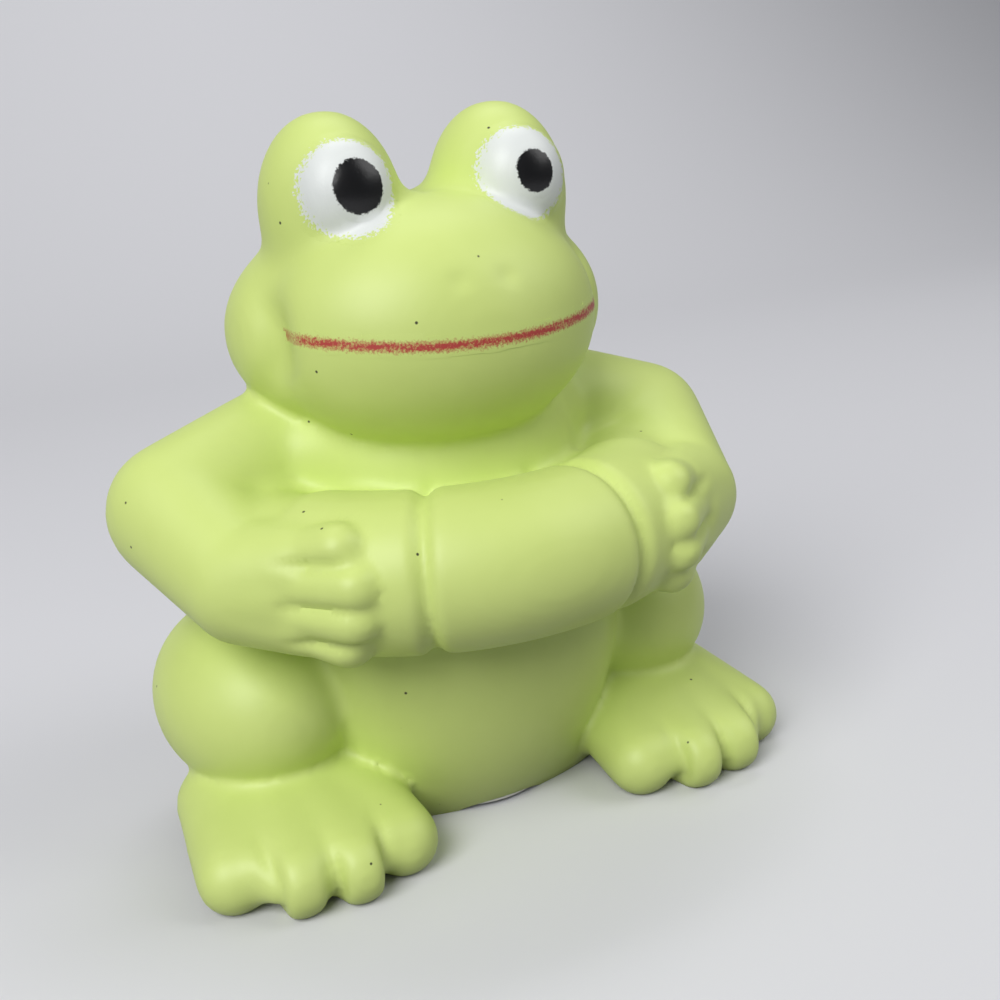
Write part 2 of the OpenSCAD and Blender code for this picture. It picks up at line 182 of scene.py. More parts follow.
class LimbSizes(bpy.types.PropertyGroup):
    """Sizes of the arms, hands, legs and feet"""
    shoulder: length("Shoulder", "Diameter of an arm at the shoulder", 13.6)
    elbow: length("Elbow", "Diameter of an arm at the elbow", 14)
    wrist: length("Wrist", "Diameter of an arm at the wrist", 11.8)
    palm: length("Palm", "Diameter of a hand behind its fingers", 10.4)
    knuckle: length("Knuckle", "Diameter of a hand at its upper and lower edge", 8)
    knuckle_turn: angle("Knuckle turn", "Round the ring, from the front segment", 50)
    knuckle_sink: length("Knuckle sink", "How far the knuckles lie in the ring", 1.9)
    finger: length("Finger", "Thickness of a finger", 5)
    finger_sink: length("Finger sink", "How far the fingers lie in the ring", 0)
    root_sink: length("Root sink", "How far the roots of the fingers lie in the ring", 0.8)
    finger_groove: length("Finger groove", "Half width of the grooves between the fingers", 0.55)
    finger_relief: length("Finger relief", "Depth of the grooves between the fingers", 0.5)
    shoulder_gap: length("Shoulder gap", "Between the two shoulders", 33)
    shoulder_back: length("Shoulder back", "Behind the middle of the ring", 4)
    shoulder_up: length("Shoulder up", "Above the middle of the ring", 8.6)
    elbow_gap: length("Elbow gap", "Between the two elbows", 53.4)
    elbow_back: length("Elbow back", "Behind the middle of the ring", 2.4)
    elbow_up: length("Elbow up", "Above the middle of the ring", 5)
    wrist_turn: angle("Wrist turn", "Round the ring, from the front segment", 66)
    palm_turn: angle("Palm turn", "Round the ring, from the front segment", 55)
    finger_turn: angle("Finger turn", "Of the fingertips, from the front segment", 35)
    wrist_sink: length("Wrist sink", "How far the wrists lie in the ring", 1.6)
    palm_sink: length("Palm sink", "How far the hands lie in the ring", 2.6)
    thigh_width: length("Thigh width", "Across one thigh", 21)
    thigh_length: length("Thigh length", "From front to back", 27)
    thigh_height: length("Thigh height", "From bottom to top", 20)
    thigh_gap: length("Thigh gap", "Between the middles of the thighs", 43)
    thigh_up: length("Thigh up", "Height of the middle of a thigh", 14.5)
    thigh_back: length("Thigh back", "Behind the middle of the ring", 4)
    foot_gap: length("Foot gap", "Between the middles of the feet", 43)
    foot_reach: length("Foot reach", "From the middle of the ring to the toes", 20.2)
    foot_width: length("Foot width", "Over the four toes", 23)
    foot_height: length("Foot height", "At the ankle", 11)
    toe: length("Toe", "Thickness of a toe", 7.2)
    toe_groove: length("Toe groove", "How far the web stays behind the tips of the toes", 1.2)
    web: length("Web", "Thickness of the web between the toes", 5.4)
    notch_up: length("Notch up", "Height of the middle of a notch between two toes", 2.2)
    notch_width: length("Notch width", "Half width of a notch", 0.7)
    notch_length: length("Notch length", "Half length of a notch, from front to back", 3)
    notch_height: length("Notch height", "Half height of a notch", 5)
    notch_depth: length("Notch depth", "Of a notch", 1.1)
    sink: length("Sink", "How far the feet go below the base before it is cut", 0.5)


class PaintSizes(bpy.types.PropertyGroup):
    """Sizes of what is sprayed on"""
    white_width: length("White width", "Across the sprayed white", 8.2)
    white_height: length("White height", "From bottom to top", 8.8)
    white_side: length("White side", "How far the whites sit towards the frog's left", -0.6)
    pupil_width: length("Pupil width", "Across the black", 4.6)
    pupil_height: length("Pupil height", "From bottom to top", 4.9)
    left_pupil: share("Left pupil", "Size of the left pupil as a share of the right one", 0.82)
    mouth_width: length("Mouth width", "From corner to corner", 30.4)
    mouth_line: length("Mouth line", "Thickness of the red line", 0.8)
    mouth_down: length("Mouth down", "Below the middle of the muzzle", 0.4)
    mouth_smile: length("Mouth smile", "Height of the corners above the middle of the line", 1.2)
    mouth_tilt: angle("Mouth tilt", "How far the line drops to the front", 2)
    margin: length("Margin", "Width of the overspray round the paint", 1)
    film: length("Film", "Thickness of the paint", 0.03)


class Finish(bpy.types.PropertyGroup):
    """Colours of the toy and its stage"""
    vinyl: colour("Vinyl", "Yellow-green of the moulding", "#D6E68A")
    vinyl_deep: colour("Vinyl deep", "Slightly deeper green of its patches", "#CBDD7C")
    speck: colour("Speck", "Specks of dirt in the skin", "#3B3F22")
    white: colour("Eye white", "Sprayed white of the eyes", "#E2E6E3")
    black: colour("Pupil", "Sprayed black of the pupils", "#0B0B0D")
    red: colour("Mouth", "Sprayed red of the mouth", "#B5423C")
    plastic: colour("Squeaker", "Plastic of the squeaker", "#E4E4DE")
    plastic_deep: colour("Squeaker deep", "Its flow marks", "#D8D8D0")
    reed: colour("Reed", "Clear springy film of the reed", "#CFD6DA")
    reed_deep: colour("Reed deep", "Its rolling marks", "#BFC8CD")
    floor: colour("Floor", "Floor and backdrop as they are seen", "#DCDCE0")
    floor_bounce: colour("Floor bounce", "What they throw back on the toy", "#808084")


class View(bpy.types.PropertyGroup):
    """Where the camera stands"""
    azimuth: angle("Azimuth", "Round the toy, from its front", -21.81)
    elevation: angle("Elevation", "Above the horizon", 18.17)
    roll: angle("Roll", "Turn of the picture", -6.11)
    pan: angle("Pan", "Turn to the side, away from the target", 2.41)
    tilt: angle("Tilt", "Turn up or down, away from the target", -3.5)
    distance: length("Distance", "From the target", 129.7)
    target: length("Target", "Height of the target above the table", 23.33)
    focal: share("Focal length", "In picture widths", 1.2)


class BathToy(bpy.types.PropertyGroup):
    """All settings of the toy"""
    head: bpy.props.PointerProperty(type=HeadSizes)
    body: bpy.props.PointerProperty(type=BodySizes)
    limbs: bpy.props.PointerProperty(type=LimbSizes)
    paint: bpy.props.PointerProperty(type=PaintSizes)
    finish: bpy.props.PointerProperty(type=Finish)
    view: bpy.props.PointerProperty(type=View)


def settings():
    """The toy's settings in this scene"""
    return bpy.context.scene.bath_toy


# Modelling by hand

def deselect():
    bpy.ops.object.select_all(action="DESELECT")


def pick(obj):
    """Selects one object alone and makes it active"""
    deselect()
    obj.select_set(True)
    bpy.context.view_layer.objects.active = obj


def ball(size, place, turn=(0, 0, 0)):
    """A ball or ellipsoid of full sizes, with its place in its mesh"""
    deselect()
    bpy.ops.mesh.primitive_uv_sphere_add(
        segments=48, ring_count=24, radius=0.5, location=place, rotation=turn, scale=size)
    bpy.ops.object.transform_apply(location=True, rotation=True, scale=True)
    return bpy.context.object


def joined(objects):
    """Several meshes as one object"""
    deselect()
    for obj in objects:
        obj.select_set(True)
    bpy.context.view_layer.objects.active = objects[0]
    bpy.ops.object.join()
    return bpy.context.object


def wrapped(objects):
    """The tight skin round several meshes"""
    obj = joined(objects)
    bpy.ops.object.mode_set(mode="EDIT")
    bpy.ops.mesh.select_all(action="SELECT")
    bpy.ops.mesh.convex_hull()
    bpy.ops.object.mode_set(mode="OBJECT")
    return obj


def limb(balls):
    """A chain of balls, each a place and a diameter, wrapped pair by pair"""
    return joined([
        wrapped([ball((d, d, d), place) for place, d in pair])
        for pair in zip(balls, balls[1:])])


def applied(obj, kind, **values):
    """Adds a modifier with its values and applies it"""
    pick(obj)
    modifier = obj.modifiers.new(kind.title(), kind)
    for name, value in values.items():
        setattr(modifier, name, value)
    bpy.ops.object.modifier_apply(modifier=modifier.name)
    return obj


def softened(obj, rounds):
    """Evens out a skin over a number of rounds"""
    return applied(obj, "SMOOTH", factor=0.5, iterations=rounds)


def melted(objects, voxel, rounds):
    """One skin over several meshes, softened over a number of rounds"""
    obj = joined(objects)
    applied(obj, "REMESH", mode="VOXEL", voxel_size=voxel, use_smooth_shade=True)
    return softened(obj, rounds)


def points_of(obj):
    """Places of a mesh's points as an array"""
    flat = np.empty(len(obj.data.vertices) * 3, np.float32)
    obj.data.vertices.foreach_get("co", flat)
    return flat.reshape(-1, 3).astype(float)


def normals_of(obj):
    """Directions of a mesh's points as an array"""
    flat = np.empty(len(obj.data.vertices) * 3, np.float32)
    obj.data.vertices.foreach_get("normal", flat)
    return flat.reshape(-1, 3).astype(float)


def move_points(obj, points):
    obj.data.vertices.foreach_set("co", points.astype(np.float32).ravel())
    obj.data.update()


def press(obj, depths):
    """Presses each point of a mesh into its skin by its own depth"""
    move_points(obj, points_of(obj) - normals_of(obj) * depths[:, None])


def dimple(points, place, size):
    """A soft dimple of the given half sizes: 1 in its middle, falling to 0"""
    return np.exp(-(((points - np.array(place)) / np.array(size)) ** 2).sum(1))


# Forms of the frog

# Fineness of the skin where forms are melted together, in wide blends and in tight ones
WIDE_SKIN = 0.6 * MM
TIGHT_SKIN = 0.5 * MM
# Rounds of softening for each set of forms: more rounds give a wider blend
BODY_ROUNDS = 40
LIMB_ROUNDS = 14
THIGH_ROUNDS = 8
SKULL_ROUNDS = 20
MUZZLE_ROUNDS = 34
FOOT_ROUNDS = 5
FROG_ROUNDS = 3
GROOVE_ROUNDS = 2
# Angles between two faces from which their edge is shaded as a sharp one
FROG_EDGE = math.radians(50)
FILM_EDGE = math.radians(40)
# What the softening takes off a form's width
SOFTENING = 0.5 * MM
QUARTER_TURN = math.radians(90)


def on_ring(turn, lift, over=0.0):
    """A point over the ring's tube, by its angle from the front and its angle round the tube"""
    body = settings().body
    radius = body.tube / 2 + over
    out = (body.ring - body.tube) / 2 + radius * math.cos(lift)
    return Vector((math.sin(turn) * out, -math.cos(turn) * out,
                   body.ring_middle + radius * math.sin(lift)))


def mirrored(place, side):
    return Vector((place[0] * side, place[1], place[2]))


def bump_middle(side):
    """Middle of an eye bump: side is 1 on the frog's left, which is +X, and -1 on its right"""
    head = settings().head
    return Vector((head.eye_side + side * head.eye_gap / 2, head.back - head.bump_out,
                   head.middle + head.bump_up))


def eye_frame(side):
    """Place inside a bump at the height of its eye, and the direction that the eye looks in"""
    head = settings().head
    look = Vector((0, -math.cos(head.eye_tilt), math.sin(head.eye_tilt)))
    return bump_middle(side) + Vector((0, 0, head.eye_up)), look


def muzzle_middle():
    head = settings().head
    return Vector((head.muzzle_side, head.back - head.muzzle_out, head.middle))


def swollen(size):
    """Sizes with what the softening takes off again"""
    return tuple(side + SOFTENING for side in size)


def make_head():
    """Cheeks and eye bumps, then the muzzle, all with wide blends"""
    head = settings().head
    skull = [ball((head.width, head.depth, head.height), (head.cheek_side, head.back, head.middle))]
    skull += [
        ball(swollen((head.bump_width, head.bump_depth, head.bump_height)), bump_middle(side))
        for side in (-1, 1)]
    skull = melted(skull, WIDE_SKIN, SKULL_ROUNDS)
    muzzle = ball(swollen((head.muzzle_width, head.muzzle_depth, head.muzzle_height)),
                  muzzle_middle())
    return melted([skull, muzzle], TIGHT_SKIN, MUZZLE_ROUNDS)


def face_dimples(points):
    """How deep each point lies in the nostrils and in the creases at the mouth corners"""
    head, paint = settings().head, settings().paint
    across = head.nostril_gap / head.muzzle_width
    up = 2 * head.nostril_up / head.muzzle_height
    front = math.sqrt(1 - across ** 2 - up ** 2) * head.muzzle_depth / 2
    depths = np.zeros(len(points))
    for side in (-1, 1):
        nostril = muzzle_middle() + Vector((side * head.nostril_gap / 2, -front, head.nostril_up))
        depths += dimple(points, nostril, (head.nostril_size,) * 3) * head.nostril_depth
        corner = muzzle_middle() + Vector((side * (paint.mouth_width / 2 + head.crease_out), 0, 0))
        size = (head.crease_width, head.crease_length, head.crease_height)
        depths += dimple(points, corner, size) * head.crease_depth
    return depths


# Part of an eye dome's width that stands out of its bump
DOME_SHOWN = 0.86


def make_eye_domes():
    """The raised domes that carry the whites"""
    head = settings().head
    depth = head.bump_depth / 2
    domes = []
    for side in (-1, 1):
        middle, look = eye_frame(side)
        place = middle + look * (head.bump_depth / 2 + head.eye_rise - depth / 2)
        domes.append(ball((head.eye_width / DOME_SHOWN, depth, head.eye_height / DOME_SHOWN), place,
                          (-head.eye_tilt, 0, 0)))
    return domes


def make_trunk():
    """Body, seat, shoulders, neck, ring and arms with wide blends, then the thighs with a crease"""
    body, limbs = settings().body, settings().limbs
    masses = [
        ball((body.width, body.depth, body.height), (0, 0, body.middle)),
        ball((body.seat_width, body.seat_depth, body.seat_height),
             (0, body.seat_back, body.seat_height / 4)),
        ball((body.shoulder_width, body.shoulder_depth, body.shoulder_height),
             (0, limbs.shoulder_back, body.ring_middle + limbs.shoulder_up)),
        ball((body.neck_width, body.neck_depth, body.neck_height), (0, 0, body.neck_middle)),
    ]
    trunk = melted(masses, WIDE_SKIN, BODY_ROUNDS)
    trunk = melted([trunk, *make_ring(), *make_arms()], TIGHT_SKIN, LIMB_ROUNDS)
    thighs = [
        ball((limbs.thigh_width, limbs.thigh_length, limbs.thigh_height),
             (side * limbs.thigh_gap / 2, limbs.thigh_back, limbs.thigh_up))
        for side in (-1, 1)]
    return melted([trunk, *thighs], TIGHT_SKIN, THIGH_ROUNDS)


# Steps along the ring's fuller front, and the thickness of a disc in it as a share of its height
PAD_STEPS = 16
PAD_DISC = 0.3


def make_ring():
    """The ring's tube and its fuller front, which reaches under both hands"""
    body, limbs = settings().body, settings().limbs
    major = (body.ring - body.tube) / 2
    deselect()
    bpy.ops.mesh.primitive_torus_add(
        major_segments=128, minor_segments=48, major_radius=major, minor_radius=body.tube / 2,
        location=(0, 0, body.ring_middle))
    bpy.ops.object.transform_apply(location=True, rotation=True, scale=True)
    tube = bpy.context.object
    pad_d = body.tube + 2 * body.pad_extra
    discs = []
    for i in range(PAD_STEPS + 1):
        turn = body.ring_turn + limbs.palm_turn * (2 * i / PAD_STEPS - 1)
        place = (math.sin(turn) * major, -math.cos(turn) * major, body.ring_middle)
        discs.append(ball((pad_d * PAD_DISC, pad_d, pad_d), place, (0, 0, turn)))
    pads = [wrapped([copied(a), copied(b)]) for a, b in zip(discs, discs[1:])]
    for disc in discs:
        bpy.data.objects.remove(disc)
    return [tube, *pads]


def ring_grooves(points):
    """How deep each point lies in the two grooves at the ends of the ring's front segment"""
    body = settings().body
    out = np.hypot(points[:, 0], points[:, 1])
    turn = np.arctan2(points[:, 0], -points[:, 1]) - body.ring_turn
    from_middle = np.hypot(out - (body.ring - body.tube) / 2, points[:, 2] - body.ring_middle)
    off_skin = from_middle - body.tube / 2 - body.pad_extra
    along = (np.abs(turn) - body.groove_turn) * out
    shares = np.exp(-(along / body.groove_width) ** 2 - (off_skin / body.groove_reach) ** 2)
    return shares * body.groove_depth


def copied(obj):
    """A copy with its own mesh"""
    pick(obj)
    bpy.ops.object.duplicate()
    return bpy.context.object


def make_arms():
    """Arms from the shoulders to the hands"""
    body, limbs = settings().body, settings().limbs
    shoulder = (limbs.shoulder_gap / 2, limbs.shoulder_back, body.ring_middle + limbs.shoulder_up)
    elbow = (limbs.elbow_gap / 2, limbs.elbow_back, body.ring_middle + limbs.elbow_up)
    return [
        limb([(mirrored(shoulder, side), limbs.shoulder),
              (mirrored(elbow, side), limbs.elbow),
              (on_ring(body.ring_turn + side * limbs.wrist_turn, 0, -limbs.wrist_sink), limbs.wrist),
              (on_ring(body.ring_turn + side * limbs.palm_turn, 0, -limbs.palm_sink), limbs.palm)])
        for side in (-1, 1)]


# Angles of the fingers and the hand's edges round the ring's tube, as parts of a quarter turn
FINGERS = (0.4, 0.1, -0.17, -0.44)
HAND_EDGES = (0.27, -0.32)
# How far the outer fingertips stay back, and how far the fingers close up towards their roots
TIP_BACK = 0.13
ROOT_FAN = 0.85


def finger_grooves(points):
    """How deep each point lies in the grooves between the fingers of both hands"""
    body, limbs = settings().body, settings().limbs
    out = np.hypot(points[:, 0], points[:, 1]) - (body.ring - body.tube) / 2
    up = points[:, 2] - body.ring_middle
    turn = np.abs(np.arctan2(points[:, 0], -points[:, 1]) - body.ring_turn)
    half = (limbs.knuckle_turn - limbs.finger_turn) / 2
    near = np.exp(-((turn - limbs.finger_turn - half) / half) ** 4)
    raised = np.clip((np.hypot(out, up) - body.tube / 2) / MM, 0, 1)
    depths = np.zeros(len(points))
    for upper, lower in zip(FINGERS, FINGERS[1:]):
        lift = QUARTER_TURN * (upper + lower) / 2
        away = (np.arctan2(up, out) - lift) * (body.tube + limbs.finger) / 2
        depths += np.exp(-(away / limbs.finger_groove) ** 2)
    return depths * near * raised * limbs.finger_relief


def make_hands():
    """Plump backs of the hands and four fingers on each, lying over the outside of the ring"""
    body, limbs = settings().body, settings().limbs
    hands = []
    for side in (-1, 1):
        def over_ring(turn, part, sink):
            return on_ring(body.ring_turn + side * turn, QUARTER_TURN * part, -sink)

        wrist = ball((limbs.wrist,) * 3, over_ring(limbs.wrist_turn, 0, limbs.wrist_sink))
        knuckles = [
            ball((limbs.knuckle,) * 3, over_ring(limbs.knuckle_turn, part, limbs.knuckle_sink))
            for part in HAND_EDGES]
        hands.append(wrapped([wrist, *knuckles]))
        for part in FINGERS:
            tip_turn = limbs.finger_turn + QUARTER_TURN * abs(part) * TIP_BACK
            tip = over_ring(tip_turn, part, limbs.finger_sink)
            root = over_ring(limbs.knuckle_turn, part * ROOT_FAN, limbs.root_sink)
            hands.append(limb([(tip, limbs.finger), (root, limbs.finger)]))
    return hands


# Places of the toes across a foot, how far each one reaches, and the ankle's parts of the foot
TOE_SIDES = (-0.5, -0.16, 0.18, 0.5)
TOE_REACHES = (0.9, 1.0, 0.96, 0.76)
ANKLE_WIDTH = 0.92
ANKLE_LENGTH = 0.8


def toe_place(i, back, size):
    """Middle of a ball at the tip of a toe of the left foot, level with the toe's top"""
    limbs = settings().limbs
    return Vector((limbs.foot_gap / 2 + (limbs.foot_width - limbs.toe) * TOE_SIDES[i],
                   size / 2 - limbs.foot_reach * TOE_REACHES[i] + back,
                   limbs.toe - size / 2 - limbs.sink))


def toe_notches(points):
    """How deep each point lies in the notches that open downwards between the toes"""
    limbs = settings().limbs
    depths = np.zeros(len(points))
    for side in (-1, 1):
        for i in range(1, len(TOE_SIDES)):
            web = (toe_place(i - 1, limbs.toe_groove, 0) + toe_place(i, limbs.toe_groove, 0)) / 2
            place = mirrored((web.x, web.y, limbs.notch_up), side)
            size = (limbs.notch_width, limbs.notch_length, limbs.notch_height)
            depths += dimple(points, place, size)
    return depths * limbs.notch_depth


def make_feet():
    """Broad feet with four toes and a web behind the tips"""
    limbs = settings().limbs
    feet = []
    for side in (-1, 1):
        def toe(i, back, size):
            return ball((size,) * 3, mirrored(toe_place(i, back, size), side))

        def ankle():
            place = Vector((limbs.foot_gap / 2, 0, limbs.foot_height / 2 - limbs.sink))
            size = (limbs.foot_width * ANKLE_WIDTH, limbs.foot_reach * ANKLE_LENGTH, limbs.foot_height)
            return ball(size, mirrored(place, side))

        feet += [wrapped([toe(i, 0, limbs.toe), ankle()]) for i in range(len(TOE_SIDES))]
        feet += [wrapped([toe(k, limbs.toe_groove, limbs.web) for k in (i - 1, i)] + [ankle()])
                 for i in range(1, len(TOE_SIDES))]
    return melted(feet, TIGHT_SKIN, FOOT_ROUNDS)


def cut(obj, cutter):
    """Cuts one mesh out of another and clears it away"""
    applied(obj, "BOOLEAN", operation="DIFFERENCE", object=cutter, solver="EXACT")
    bpy.data.objects.remove(cutter)


# Block that takes off all that lies below the table
BLOCK = 100 * MM
# Room round the squeaker and over it, its flange's thickness, and its barrel as a part of its bore
SQUEAKER_FIT = 0.1 * MM
SQUEAKER_ROOM = 3 * MM
FLANGE = 1.2 * MM
BARREL_SHARE = 0.765


def cut_base(obj):
    """Cuts the frog flat where it stands"""
    deselect()
    bpy.ops.mesh.primitive_cube_add(size=BLOCK, location=(0, 0, -BLOCK / 2))
    cut(obj, bpy.context.object)


def bore_base(obj):
    """Cuts the recess of the squeaker's flange and the hole for its barrel"""
    low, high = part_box("squeaker_cup")
    flange_r = (high.x - low.x) / 2 + SQUEAKER_FIT
    barrel_r = flange_r * BARREL_SHARE
    seat_z = low.z + FLANGE
    for radius, top in ((flange_r, seat_z), (barrel_r, high.z + SQUEAKER_ROOM)):
        deselect()
        bpy.ops.mesh.primitive_cylinder_add(
            vertices=96, radius=radius, depth=2 * top, location=(0, 0, 0))
        cut(obj, bpy.context.object)


# Materials

# Sockets of a Mix node for two colours and its result
MIX_A = 6
MIX_B = 7
MIX_RESULT = 2


def node(tree, kind, values=None, inputs=None):
    """Adds a node with its settings, and with values or links on its sockets"""
    made = tree.nodes.new(kind)
    for name, value in (values or {}).items():
        setattr(made, name, value)
    for name, value in (inputs or {}).items():
        socket = made.inputs[name]
        if isinstance(value, bpy.types.NodeSocket):
            tree.links.new(value, socket)
        else:
            socket.default_value = value
    return made


def new_material(name):
    """An empty material with its output"""
    material = bpy.data.materials.new(name)
    material.use_nodes = True
    material.node_tree.nodes.clear()
    return material, node(material.node_tree, "ShaderNodeOutputMaterial")


def rgba(value):
    return (*value, 1.0)


# Sizes of the vinyl's cloudy patches, cells with a speck or none, mould grain and waves
CLOUD = 9 * MM
SPECK_CELL = 3.5 * MM
GRAIN = 0.35 * MM
WAVE = 6 * MM
# Radius of a speck's dark middle and of its soft edge, in cells, and the part of cells without one
SPECK_MIDDLE = 0.028
SPECK_EDGE = 0.05
CLEAR_CELLS = 0.6
# Sizes of the squeaker's flow marks and grain, and of the rolling marks along the reed
FLOW_MARK = 3 * MM
PLASTIC_GRAIN = 0.5 * MM
ROLL_MARK = 0.4 * MM
ROLL_STRETCH = 0.06


def vinyl_skin(tree):
    """Colour and bump of matte soft vinyl: faint cloudy patches, a fine mould grain and specks"""
    finish = settings().finish
    place = node(tree, "ShaderNodeTexCoord").outputs["Object"]
    clouds = node(tree, "ShaderNodeTexNoise", {}, {
        "Vector": place, "Scale": 1 / CLOUD, "Detail": 3.0, "Roughness": 0.55})
    cloudy = node(tree, "ShaderNodeMix", {"data_type": "RGBA"}, {
        "Factor": clouds.outputs["Fac"], MIX_A: rgba(finish.vinyl), MIX_B: rgba(finish.vinyl_deep)})
    cells = node(tree, "ShaderNodeTexVoronoi", {}, {
        "Vector": place, "Scale": 1 / SPECK_CELL, "Randomness": 1.0})
    spot = node(tree, "ShaderNodeMapRange", {}, {
        "Value": cells.outputs["Distance"], "From Min": SPECK_MIDDLE, "From Max": SPECK_EDGE,
        "To Min": 1.0, "To Max": 0.0})
    pick_cell = node(tree, "ShaderNodeSeparateColor", {}, {"Color": cells.outputs["Color"]})
    rare = node(tree, "ShaderNodeMath", {"operation": "GREATER_THAN"}, {
        0: pick_cell.outputs["Red"], 1: CLEAR_CELLS})
    specks = node(tree, "ShaderNodeMath", {"operation": "MULTIPLY"}, {
        0: spot.outputs["Result"], 1: rare.outputs["Value"]})
    skin = node(tree, "ShaderNodeMix", {"data_type": "RGBA"}, {
        "Factor": specks.outputs["Value"], MIX_A: cloudy.outputs[MIX_RESULT], MIX_B: rgba(finish.speck)})
    grain = node(tree, "ShaderNodeTexNoise", {}, {
        "Vector": place, "Scale": 1 / GRAIN, "Detail": 2.0, "Roughness": 0.6})
    waves = node(tree, "ShaderNodeTexNoise", {}, {
        "Vector": place, "Scale": 1 / WAVE, "Detail": 1.0})
    relief = node(tree, "ShaderNodeBump", {}, {
        "Strength": 0.25, "Distance": 0.02 * MM, "Height": grain.outputs["Fac"]})
    relief = node(tree, "ShaderNodeBump", {}, {
        "Strength": 0.35, "Distance": 0.12 * MM, "Height": waves.outputs["Fac"],
        "Normal": relief.outputs["Normal"]})
    return place, skin.outputs[MIX_RESULT], relief.outputs["Normal"]


VINYL = {"Roughness": 0.48, "IOR": 1.5}


def soft_vinyl():
    """Rotation-moulded soft vinyl: matte, slightly waxy, with a broad soft highlight"""
    material, output = new_material("soft_vinyl")
    tree = material.node_tree
    _, skin, relief = vinyl_skin(tree)
    shader = node(tree, "ShaderNodeBsdfPrincipled", {}, {
        "Base Color": skin, "Normal": relief, **VINYL})
    tree.links.new(shader.outputs["BSDF"], output.inputs["Surface"])
    return material


def sprayed(name, under, paint, roughness, grit_mm, ragged_mm, soft_mm):
    """Paint sprayed through a mask: solid inside, breaking up into grains at its edge"""
    material, output = new_material(name)
    tree = material.node_tree
    place, skin, relief = vinyl_skin(tree)
    base = skin if under is None else rgba(under)
    inside = node(tree, "ShaderNodeAttribute", {"attribute_name": "inside"}).outputs["Fac"]
    grit = node(tree, "ShaderNodeTexNoise", {}, {
        "Vector": place, "Scale": 1 / (grit_mm * MM), "Detail": 2.0, "Roughness": 0.7})
    lifted = node(tree, "ShaderNodeMath", {"operation": "MULTIPLY_ADD"}, {
        0: grit.outputs["Fac"], 1: 2 * ragged_mm, 2: -ragged_mm})
    depth = node(tree, "ShaderNodeMath", {"operation": "ADD"}, {
        0: inside, 1: lifted.outputs["Value"]})
    cover = node(tree, "ShaderNodeMapRange", {}, {
        "Value": depth.outputs["Value"], "From Min": -soft_mm, "From Max": soft_mm})
    mixed = node(tree, "ShaderNodeMix", {"data_type": "RGBA"}, {
        "Factor": cover.outputs["Result"], MIX_A: base, MIX_B: rgba(paint)})
    gloss = node(tree, "ShaderNodeMapRange", {}, {
        "Value": cover.outputs["Result"], "To Min": VINYL["Roughness"], "To Max": roughness})
    grains = node(tree, "ShaderNodeBump", {}, {
        "Strength": 0.4, "Distance": 0.03 * MM, "Height": grit.outputs["Fac"], "Normal": relief})
    shader = node(tree, "ShaderNodeBsdfPrincipled", {}, {
        "Base Color": mixed.outputs[MIX_RESULT], "Roughness": gloss.outputs["Result"],
        "IOR": VINYL["IOR"], "Normal": grains.outputs["Normal"]})
    tree.links.new(shader.outputs["BSDF"], output.inputs["Surface"])
    return material


def moulded_plastic():
    """Hard moulded polystyrene: smooth, off-white, with faint flow marks and grain"""
    material, output = new_material("moulded_polystyrene")
    tree = material.node_tree
    finish = settings().finish
    place = node(tree, "ShaderNodeTexCoord").outputs["Object"]
    flow = node(tree, "ShaderNodeTexNoise", {}, {
        "Vector": place, "Scale": 1 / FLOW_MARK, "Detail": 2.0, "Distortion": 1.0})
    tone = node(tree, "ShaderNodeMix", {"data_type": "RGBA"}, {
        "Factor": flow.outputs["Fac"], MIX_A: rgba(finish.plastic), MIX_B: rgba(finish.plastic_deep)})
    grain = node(tree, "ShaderNodeTexNoise", {}, {"Vector": place, "Scale": 1 / PLASTIC_GRAIN})
    relief = node(tree, "ShaderNodeBump", {}, {
        "Strength": 0.2, "Distance": 0.02 * MM, "Height": grain.outputs["Fac"]})
    shader = node(tree, "ShaderNodeBsdfPrincipled", {}, {
        "Base Color": tone.outputs[MIX_RESULT], "Roughness": 0.4, "IOR": 1.59,
        "Normal": relief.outputs["Normal"]})
    tree.links.new(shader.outputs["BSDF"], output.inputs["Surface"])
    return material


def reed_film():
    """Rolled polyester film: glossy, slightly clear, with fine marks along its length"""
    material, output = new_material("polyester_film")
    tree = material.node_tree
    finish = settings().finish
    place = node(tree, "ShaderNodeTexCoord").outputs["Object"]
    along = node(tree, "ShaderNodeMapping", {}, {"Vector": place, "Scale": (1.0, 1.0, ROLL_STRETCH)})
    marks = node(tree, "ShaderNodeTexNoise", {}, {
        "Vector": along.outputs["Vector"], "Scale": 1 / ROLL_MARK, "Detail": 2.0})
    tone = node(tree, "ShaderNodeMix", {"data_type": "RGBA"}, {
        "Factor": marks.outputs["Fac"], MIX_A: rgba(finish.reed), MIX_B: rgba(finish.reed_deep)})
    shader = node(tree, "ShaderNodeBsdfPrincipled", {}, {
        "Base Color": tone.outputs[MIX_RESULT], "Roughness": 0.18, "IOR": 1.64,
        "Transmission Weight": 0.35})
    tree.links.new(shader.outputs["BSDF"], output.inputs["Surface"])
    return material


